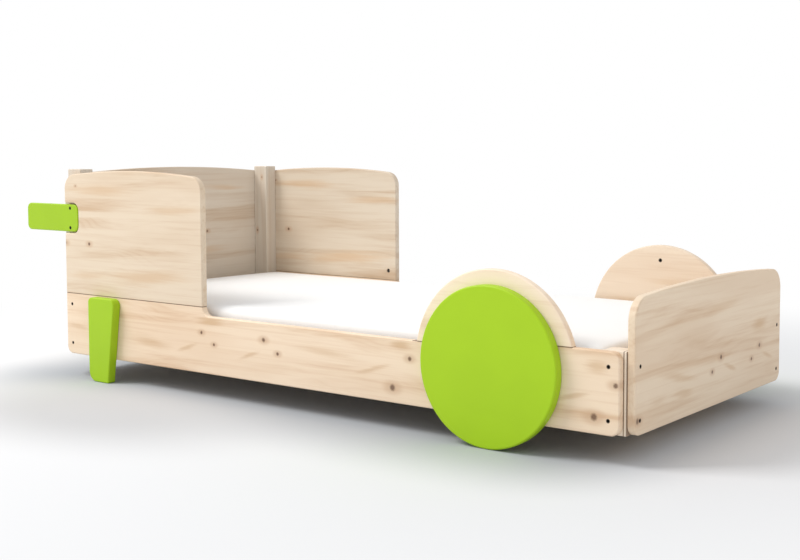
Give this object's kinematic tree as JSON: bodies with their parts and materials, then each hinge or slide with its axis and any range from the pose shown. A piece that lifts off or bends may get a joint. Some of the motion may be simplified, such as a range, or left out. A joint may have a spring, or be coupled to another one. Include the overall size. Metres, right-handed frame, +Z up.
{
  "type": "floor bed",
  "caption": "Low child's floor bed shaped like a toy vehicle: arched end boards, tall side panels at the head, fixed wheel discs, tapered feet, handles and a mattress.",
  "frame": {"origin": "on the floor, under the centre of the overall box", "axes": "+X from the head end towards the foot end, +Y from the side seen in the picture towards the other side, +Z up"},
  "size_m": [2.361, 1.028, 0.6999],
  "materials": {
    "pine": "satin clear lacquer over knotty pine board",
    "slat_pine": "planed, unlacquered",
    "green_lacquer": "satin lime green lacquer over pine",
    "mattress_cover": "plain woven white cover",
    "black_steel": "black oxide",
    "zinc_steel": "zinc plated",
    "brass_insert": "turned",
    "zinc_alloy": "as cast",
    "beech": "raw"
  },
  "bodies": {
    "bed_frame": {"front_side_rail": "pine", "back_side_rail": "pine", "front_tall_side_panel": "pine", "back_tall_side_panel": "pine", "front_wheel_guard": "pine", "back_wheel_guard": "pine", "front_wheel_disc": "green_lacquer", "back_wheel_disc": "green_lacquer", "front_foot": "green_lacquer", "back_foot": "green_lacquer", "front_handle": "green_lacquer", "back_handle": "green_lacquer", "front_head_post": "pine", "back_head_post": "pine", "front_foot_post": "pine", "back_foot_post": "pine", "front_slat_ledge": "slat_pine", "back_slat_ledge": "slat_pine", "headboard": "pine", "footboard": "pine", "slat_01": "slat_pine", "slat_02": "slat_pine", "slat_03": "slat_pine", "slat_04": "slat_pine", "slat_05": "slat_pine", "slat_06": "slat_pine", "slat_07": "slat_pine", "slat_08": "slat_pine", "slat_09": "slat_pine", "slat_10": "slat_pine", "slat_11": "slat_pine", "slat_12": "slat_pine", "slat_13": "slat_pine", "slat_14": "slat_pine", "slat_15": "slat_pine", "rail_bolts": "black_steel", "end_board_bolts": "black_steel", "handle_screws": "black_steel", "wheel_screws": "black_steel", "foot_screws": "zinc_steel", "ledge_screws": "zinc_steel", "slat_screws": "zinc_steel", "connector_rods": "zinc_steel", "bolt_inserts": "brass_insert", "connector_cams": "zinc_alloy", "dowels": "beech"},
    "mattress": {"mattress": "mattress_cover"}
  },
  "joints": [
    {"name": "mattress_lift", "type": "slide", "parent": "bed_frame", "child": "mattress", "axis": [0, 0, 1], "range_m": [0, 0.58]}
  ]
}
